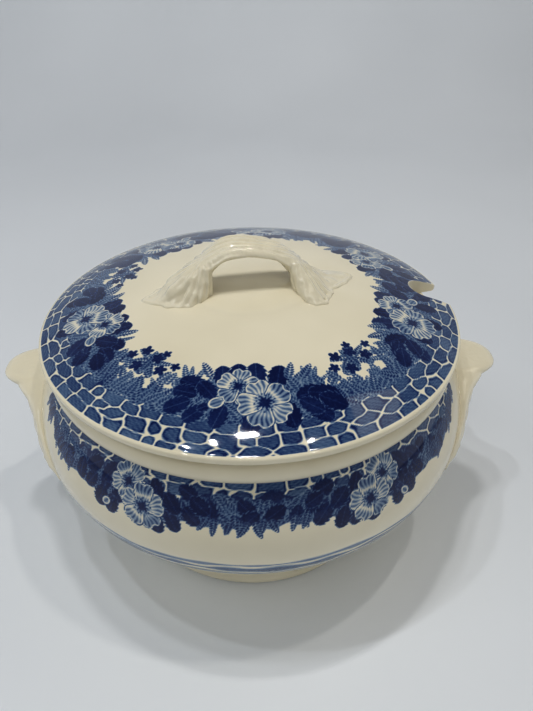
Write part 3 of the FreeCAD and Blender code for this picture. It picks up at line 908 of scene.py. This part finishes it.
def settle(piece):
    """Applies a piece's modifiers to its mesh."""
    graph = bpy.context.evaluated_depsgraph_get()
    mesh = bpy.data.meshes.new_from_object(piece.evaluated_get(graph))
    piece.modifiers.clear()
    piece.data = mesh
    mesh.shade_smooth()


def melt(name, limbs, voxel_mm, smoothings):
    """Runs limbs together into one smooth skin, as wet clay."""
    points, quads, caps, base = [], [], [], 0
    for vertices, sides, ends in limbs:
        points.append(vertices)
        quads.append(sides + base)
        caps.append(ends + base)
        base += len(vertices)
    groups = [np.concatenate(quads)]
    for width in sorted({c.shape[1] for c in caps}):
        groups.append(np.concatenate([c for c in caps if c.shape[1] == width]))
    piece = build(name, np.concatenate(points), groups)
    skin = piece.modifiers.new("melt", "REMESH")
    skin.mode = "VOXEL"
    skin.voxel_size = voxel_mm * MM
    smooth = piece.modifiers.new("smooth", "SMOOTH")
    smooth.factor = 0.5
    smooth.iterations = smoothings
    settle(piece)
    return piece


def reshape(piece, change):
    """Moves a piece's points by a function that takes and gives millimetres."""
    count = len(piece.data.vertices)
    flat = np.empty(count * 3, np.float32)
    piece.data.vertices.foreach_get("co", flat)
    points = change(flat.reshape(-1, 3).astype(float) / MM)
    piece.data.vertices.foreach_set("co", (points * MM).astype(np.float32).ravel())
    piece.data.update()


def belly_radius(height):
    """How far the outside of the bowl is from the axis at a height."""
    end = np.where(height < BELLY_Z, TURN[0], NECK[0])
    far = np.where(height < BELLY_Z, BELLY_Z - TURN[1], NECK[1] - BELLY_Z)
    bend = tangent_bend(BELLY_R - end, far)
    return BELLY_R - bend + np.sqrt(np.clip(bend**2 - (height - BELLY_Z) ** 2, 0, None))


def on_bowl(degree, height, proud=0.0):
    """Point proud of the belly by some millimetres."""
    a = radians(degree)
    far = float(belly_radius(height)) + proud
    return far * cos(a), far * sin(a), height


TAB_RISE = 19.5
TAB_HALF_WIDTH = 18.5
# How deep the tab starts inside the belly.
TAB_ROOT = 4.5
# Rows of a lug's tab: share of the way up, how far it stands out as a share of its reach,
# share of half width.
TAB = (
    (0.00, -0.05, 0.70), (0.30, 0.14, 0.86), (0.52, 0.38, 0.96), (0.70, 0.74, 1.02),
    (0.84, 0.97, 1.02), (0.93, 1.00, 1.00), (1.00, 0.90, 0.90),
)
# Places along a lug's root: turn round the bowl in degrees, height, how proud its crest is, half its breadth.
SWEEP = (
    (3, 101.5, 17.0, 3.6),
    (8, 101.3, 14.0, 3.8),
    (12, 98.8, 8.0, 4.8),
    (16, 95.0, 4.8, 6.0),
    (20, 90.5, 3.5, 6.0),
    (24, 86.5, 2.9, 5.5),
    (28, 82.5, 2.2, 4.8),
    (32, 79.0, 0.9, 2.8),
    (34, 77.5, 0.2, 1.4),
)
# Small bumps on the roots: degrees round from the lug, height, how far proud of the belly, size.
LUG_KNOTS = (
    (21.0, 91.0, 1.6, 2.0), (24.5, 87.5, 1.2, 1.7), (26.5, 83.5, 1.4, 1.8),
    (29.5, 82.0, 0.7, 1.5), (18.0, 93.0, 2.2, 1.8),
)


def make_lug(name, side):
    """A half-round tab whose edges run on as two roots that sweep down over the belly."""
    high = lug_high.z / MM
    low = high - TAB_RISE
    overhang = lug_high.x / MM - float(belly_radius(high))
    rows, _ = curve_through(TAB, 5)
    turn = np.linspace(0, tau, 56, endpoint=False)
    power = 2 / 2.4
    points = []
    for up, out, wide in rows:
        height = low + (high - low) * up
        depth = TAB_ROOT + overhang * max(out, -0.05)
        x = float(belly_radius(height)) - TAB_ROOT + depth * squared(np.cos(turn), power)
        y = TAB_HALF_WIDTH * wide * squared(np.sin(turn), power)
        points.append(np.stack([x, y, np.full(len(turn), height)], 1))
    limbs = [(np.concatenate(points), *tube_faces(len(rows), len(turn)))]
    for way in (-1, 1):
        turns = [radians(way * s[0]) for s in SWEEP]
        outward = [(cos(a), sin(a), 0.0) for a in turns]
        centres = [on_bowl(way * s[0], s[1]) for s in SWEEP]
        broad = np.cross(np.gradient(np.array(centres), axis=0), outward)
        broad /= np.linalg.norm(broad, axis=1)[:, None]
        limbs.append(limb(centres, [s[3] for s in SWEEP], [s[2] for s in SWEEP], broad))
        for degree, height, proud, size in LUG_KNOTS:
            limbs.append(knob(on_bowl(way * degree, height, proud), size))
    lug = melt(name, limbs, 0.8, 9)

    def inside_wall(p):
        """Wrinkles the roots and keeps the lug out of the bowl's hollow."""
        x, y, z = p.T
        root = np.clip((101 - z) / 6, 0, 1)
        ripple = np.sin(1.1 * z + 0.5 * np.abs(y)) + np.sin(1.0 * y - 0.7 * z)
        swell = 1 + 0.0013 * root * ripple
        p = np.stack([x * swell, y * swell, z], 1)
        far = np.hypot(p[:, 0], p[:, 1])
        least = belly_radius(p[:, 2]) - 4.0
        scale = np.maximum(far, least) / np.maximum(far, 1e-6)
        return np.stack([side * p[:, 0] * scale, p[:, 1] * scale, p[:, 2]], 1)

    reshape(lug, inside_wall)
    if side < 0:
        lug.data.flip_normals()
    return dress(lug, branch_glaze, "bowl", "plain_glaze", "lug_right" if side > 0 else "lug_left")


# The branch: x, y and height above the lid's edge, half width, half thickness, how far its back edge tips up.
BRANCH = (
    (-60, -1.5, 14.0, 2.6, 0.9, 0.0),
    (-54, -2.5, 15.2, 5.5, 1.6, 0.0),
    (-48, -3.0, 16.8, 7.5, 2.6, 0.0),
    (-41.5, -3.8, 21.6, 8.4, 4.8, 0.0),
    (-34, -3.4, 26.2, 8.8, 5.6, 0.0),
    (-25, -1.2, 32.4, 9.0, 4.6, 0.0),
    (-19, -0.4, 37.4, 9.2, 3.6, 0.08),
    (-13, 0.0, 40.8, 9.3, 3.0, 0.18),
    (-5, 0.0, 41.9, 9.3, 2.8, 0.20),
    (6, 0.0, 40.4, 9.3, 2.6, 0.12),
    (15, 0.0, 37.2, 9.4, 2.8, 0.05),
    (22, -1.2, 31.6, 9.6, 4.2, 0.0),
    (29, -3.2, 24.0, 9.4, 5.2, 0.0),
    (37, -2.0, 18.6, 9.0, 3.4, 0.0),
    (46, 3.0, 17.0, 7.5, 1.8, 0.0),
    (54, 4.0, 15.6, 5.5, 1.3, 0.0),
    (59.5, 3.0, 14.0, 2.6, 0.8, 0.0),
)
# Folds of each leg: where they start on the strap's shoulders (x, y, height above the lid's edge),
# where they reach the lid (x, y), and how far they bow out before the legs' common flare.
LEFT_FLUTES = (
    (-22.5, -8.0, 35.0, -23, -10.5, 0.06),
    (-23, -8.8, 35.0, -26.5, -14.0, 0.08),
    (-23.5, -9.0, 35.0, -30.5, -16.0, 0.08),
    (-24, -8.8, 35.0, -35, -16.8, 0.06),
    (-25, -8.2, 35.0, -40, -16.2, 0.04),
    (-26, -7.0, 35.2, -45, -14.2, 0.02),
    (-27, -5.0, 35.0, -50, -11.5, 0.02),
    (-28, -2.5, 33.0, -55, -7.5, 0.04),
    (-28, 1.0, 31.5, -59.5, -2.5, 0.00),
    (-28, 3.5, 30.0, -51, 4.5, 0.00),
    (-25, 5.5, 30.5, -38, 9.5, -0.05),
)
RIGHT_FLUTES = (
    (21.5, -8.0, 33.5, 23.5, -14.5, 0.10),
    (22, -8.8, 33.5, 25.5, -20.0, 0.10),
    (22.5, -9.0, 33.5, 28.5, -24.5, 0.10),
    (23, -9.0, 33.5, 32, -27.0, 0.10),
    (24, -8.4, 33.0, 36, -26.0, 0.09),
    (25, -7.2, 32.5, 39.5, -22.0, 0.08),
    (26, -5.5, 31.5, 42, -17.0, 0.07),
    (26.5, -3.0, 30.5, 45, -11.0, 0.05),
    (27, 0.0, 29.0, 59, 1.5, -0.10),
    (27, 4.0, 28.0, 56, 8.0, -0.12),
    (24, 5.5, 28.5, 41, 11.5, -0.10),
)
# How much all folds flare out towards the lid.
LEG_FLARE = 0.13


def make_handle():
    """A flattened branch bent into an arch, fluted where its feet spread over the lid."""

    def sunk(x, y, depth):
        return float(dome_height(hypot(x, y))) - depth

    spine = [b[:3] for b in BRANCH]
    tips = [(0, 1, b[5]) for b in BRANCH]
    limbs = [limb(spine, [b[3] for b in BRANCH], [b[4] for b in BRANCH], tips, 32, 0.85)]
    for sx, sy, sz, fx, fy, bow in LEFT_FLUTES + RIGHT_FLUTES:
        fz = sunk(fx, fy, 1.6)
        bow -= LEG_FLARE
        path = [(sx, sy, sz)]
        for share in (0.3, 0.6, 0.85):
            lift = 4 * bow * share * (1 - share) * (sz - fz)
            path.append((sx + (fx - sx) * share, sy + (fy - sy) * share, sz + (fz - sz) * share + lift))
        path.append((fx, fy, fz))
        limbs.append(limb(path, [1.7, 2.1, 2.2, 1.8, 1.0]))
        # A thicker core under each flute keeps the leg solid down to the lid.
        core = [(p[0] + 2.0 * copysign(1, sx), p[1] * 0.76, p[2] - 3.0) for p in path[:4]]
        limbs.append(limb(core, [2.8, 3.6, 3.6, 2.6]))
    # Streaks in the front bevel of the strap.
    strap = BRANCH[5:12]
    for y, lift, thick in ((-5.4, 1.7, 1.1), (-7.6, 0.7, 1.2), (-9.2, -0.8, 1.2)):
        streak = [(b[0], b[1] + y * b[3] / 9.3, b[2] + lift) for b in strap]
        limbs.append(limb(streak, [thick * k for k in (0.6, 0.9, 1, 1, 1, 0.9, 0.6)]))
    # A low web between the flutes' ends, so that each leg has one foot.
    for flutes in (LEFT_FLUTES, RIGHT_FLUTES):
        web = []
        for sx, sy, sz, fx, fy, _ in flutes:
            x, y = sx + (fx - sx) * 0.93, sy + (fy - sy) * 0.93
            web.append((x, y, sunk(x, y, 0.2)))
        limbs.append(limb(web, [0.9] + [1.4] * (len(web) - 2) + [0.9]))
    handle = melt("branch_handle_arch", limbs, 0.6, 5)

    def bark(p):
        """Upright folds round each leg and lengthwise wrinkles in the strap."""
        x, y, z = p.T
        leg = np.clip((np.abs(x) - 17) / 10, 0, 1)
        dx = x - 23 * np.sign(x)
        dy = y + 3
        reach = np.hypot(dx, dy) + 0.001
        turn = np.arctan2(dy, dx)
        fold = np.sin(15 * turn + 0.22 * z) + 0.7 * np.sin(26 * turn - 0.3 * z + 1)
        fold += 0.4 * np.sin(0.9 * z + 3 * turn)
        push = 0.50 * leg * np.clip(reach / 9, 0, 1) * fold
        wrinkle = np.sin(1.7 * y + 1.4 * np.sin(0.14 * x) + 0.4 * z) + 0.5 * np.sin(0.5 * x + 1.1 * y)
        lift = 0.34 * (1 - leg) * wrinkle
        return np.stack([x + push * dx / reach, y + push * dy / reach, z + lift], 1)

    reshape(handle, bark)
    handle.data.transform(Matrix.Translation((0, 0, EDGE_Z * MM)))
    handle.data.transform(Matrix.Rotation(LID_TURN, 4, "Z"))
    return dress(handle, branch_glaze, "lid", "plain_glaze", "branch_handle")


make_lid()
make_bowl()
make_lug("lug_left_tab", -1)
make_lug("lug_right_tab", 1)
make_handle()

for node in ("foot_ring", "lid_flange"):
    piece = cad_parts[node]
    piece.data.materials.clear()
    piece.data.materials.append(plain_glaze)


# ---- studio


def make_stage():
    """A pale paper sweep: floor, curve and back wall."""
    material, tree, shader = shade_nodes("paper")
    coordinates = tree.nodes.new("ShaderNodeTexCoord").outputs["Object"]
    tone = noise(tree, coordinates, 1.3, 3.0)
    colour = ramp(tree, tone, [(0.3, (0.70, 0.73, 0.765)), (0.7, (0.80, 0.83, 0.865))])
    tree.links.new(colour, shader.inputs["Base Color"])
    fill(shader, {"Roughness": 0.85})
    xs = np.linspace(-2.6, 2.6, 3)
    path = [(-1.6, 0.0), (0.75, 0.0)]
    for k in range(1, 13):
        a = k / 12 * pi / 2
        path.append((0.75 + 0.5 * sin(a), 0.5 - 0.5 * cos(a)))
    path.append((1.25, 0.90))
    points = np.array([(x, y, z) for y, z in path for x in xs]) / MM
    n = len(xs)
    corners = [i * n + j for i in range(len(path) - 1) for j in range(n - 1)]
    quads = np.array([(c, c + 1, c + n + 1, c + n) for c in corners])
    paper = build("paper_sweep", points, [quads])
    paper.data.materials.append(material)


def area_light(name, place, aim, size, power, colour):
    """A rectangular lamp that points at a place."""
    light = bpy.data.lights.new(name, "AREA")
    light.shape = "RECTANGLE"
    light.size, light.size_y = size
    light.energy = power
    light.color = colour
    lamp = bpy.data.objects.new(name, light)
    lamp.location = place
    lamp.rotation_euler = (Vector(aim) - Vector(place)).to_track_quat("-Z", "Y").to_euler()
    scene.collection.objects.link(lamp)


def make_lights():
    """Small lamps over the tureen, wide fills round it, and a room that is pale at eye level."""
    lamps = (
        (-0.04, 0.10, 1.6, 0.12, 0.055, 3.1, (1.0, 0.98, 0.95)),
        (-0.27, -0.02, 1.6, 0.09, 0.035, 2.0, (0.97, 0.98, 1.0)),
        (0.41, -0.05, 1.6, 0.07, 0.03, 2.1, (1.0, 0.95, 0.86)),
        (-0.50, -0.12, 1.6, 0.05, 0.03, 1.9, (0.94, 0.97, 1.0)),
        (-0.40, -0.95, 1.5, 0.70, 0.45, 1.7, (0.95, 0.98, 1.0)),
        (0.36, -1.05, 1.5, 0.70, 0.45, 1.3, (1.0, 0.92, 0.78)),
        (-1.00, -0.45, 1.5, 0.70, 0.45, 1.6, (0.90, 0.95, 1.0)),
        (0.95, 0.30, 1.6, 0.70, 0.45, 1.1, (1.0, 0.92, 0.80)),
    )
    for number, (x, y, z, wide, deep, power, colour) in enumerate(lamps):
        area_light(f"lamp_{number}", (x, y, z), (x * 0.5, y * 0.5, 0.0), (wide, deep), power, colour)
    world = bpy.data.worlds.new("room")
    scene.world = world
    world.use_nodes = True
    tree = world.node_tree
    background = tree.nodes["Background"]
    direction = tree.nodes.new("ShaderNodeTexCoord").outputs["Generated"]
    parts = tree.nodes.new("ShaderNodeSeparateXYZ")
    tree.links.new(direction, parts.inputs[0])
    levels = [
        (0.0, (0.66, 0.675, 0.69)),
        (0.28, (0.65, 0.665, 0.68)),
        (0.50, (0.26, 0.27, 0.28)),
        (0.80, (0.12, 0.12, 0.125)),
    ]
    room = ramp(tree, parts.outputs["Z"], levels)
    tree.links.new(room, background.inputs["Color"])
    tree.links.new(spread(tree, parts.outputs["Y"], -0.9, 0.1, 0.5, 1.1), background.inputs["Strength"])


# The focal length, in pixels of an image 711 high.
FOCAL_PIXELS = 600
IMAGE_HEIGHT = 711
SENSOR_MM = 36


def make_camera():
    """Above and in front of the tureen, looking down at about 32 degrees."""
    distance = 2.965 * LID_R * MM
    down = radians(32.085)
    aim = Vector((0, 0, EDGE_Z * MM))
    place = aim + Vector((0, -cos(down), sin(down))) * distance
    forward = (aim - place).normalized()
    right = Vector((1, 0, 0))
    rows = Matrix((right, forward.cross(right), forward))
    roll = Matrix.Rotation(radians(-1.2), 3, "Z")
    pitch = Matrix.Rotation(radians(4.097), 3, "X")
    yaw = Matrix.Rotation(radians(-1.423), 3, "Y")
    turn = roll @ pitch @ yaw
    rows = turn @ rows
    data = bpy.data.cameras.new("camera")
    data.sensor_width = SENSOR_MM
    data.lens = FOCAL_PIXELS / IMAGE_HEIGHT * SENSOR_MM
    camera = bpy.data.objects.new("camera", data)
    facing = Matrix((rows[0], -rows[1], -rows[2])).transposed().to_4x4()
    camera.matrix_world = Matrix.Translation(place) @ facing
    scene.collection.objects.link(camera)
    scene.camera = camera
    data.clip_start = 0.01


make_stage()
make_lights()
make_camera()
scene.view_settings.view_transform = "Standard"
scene.view_settings.look = "Medium High Contrast"
